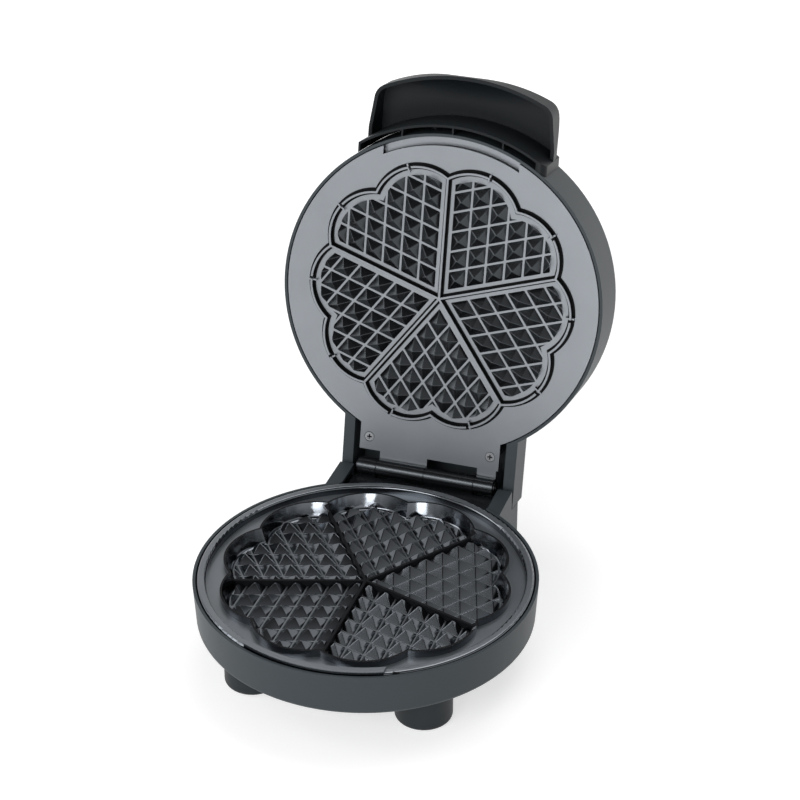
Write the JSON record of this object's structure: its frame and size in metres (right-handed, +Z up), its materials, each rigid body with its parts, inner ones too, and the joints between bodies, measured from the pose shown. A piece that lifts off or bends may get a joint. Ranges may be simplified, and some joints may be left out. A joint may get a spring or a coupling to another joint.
{
  "type": "heart waffle maker",
  "caption": "Round hinged waffle iron: a deep heart-patterned cast plate in a footed base, a matching plate in a lid with a scooped front handle, shown open",
  "frame": {"origin": "on the table, under the middle of the open appliance", "axes": "+Z up, -Y front (handle side), hinge axis along X at the rear"},
  "size_m": [0.2034, 0.3052, 0.2912],
  "materials": {
    "housing_plastic": "matt anthracite moulded plastic",
    "foot_plastic": "matt dark moulded plastic",
    "nonstick_plate": "cast aluminium with a dark satin non-stick coat",
    "element_steel": "dull sheathed steel tube",
    "reflector_sheet": "plain bright sheet",
    "screw_steel": "plain steel",
    "control_plastic": "cream heat-resistant plastic and ceramic",
    "gland_rubber": "soft black rubber",
    "red_lens": "clear red lens",
    "green_lens": "clear green lens",
    "lamp_glass": "clear neon lamp"
  },
  "bodies": {
    "base": {"base_housing": "housing_plastic", "lower_plate": "nonstick_plate", "lower_heating_element": "element_steel", "lower_reflector": "reflector_sheet", "lower_reflector_screw": "screw_steel", "thermostat": "control_plastic", "thermal_fuse": "control_plastic", "terminal_block": "control_plastic", "cord_gland": "gland_rubber", "lower_plate_screws": "screw_steel", "front_foot_right": "foot_plastic", "front_foot_left": "foot_plastic", "rear_pad_right": "gland_rubber", "rear_pad_left": "gland_rubber", "foot_screws": "screw_steel", "hinge_pin": "screw_steel", "hinge_clips": "screw_steel"},
    "lid": {"lid_housing": "housing_plastic", "upper_plate": "nonstick_plate", "upper_heating_element": "element_steel", "upper_reflector": "reflector_sheet", "upper_reflector_screw": "screw_steel", "upper_plate_screws": "screw_steel", "handle": "housing_plastic", "handle_screws": "screw_steel", "power_lens": "red_lens", "ready_lens": "green_lens", "signal_lamps": "lamp_glass"}
  },
  "joints": [
    {"name": "lid_hinge", "type": "hinge", "parent": "base", "child": "lid", "pos_m": [0, 0.06478, 0.0518], "axis": [1, 0, 0], "range_deg": [0, 102.2]}
  ]
}
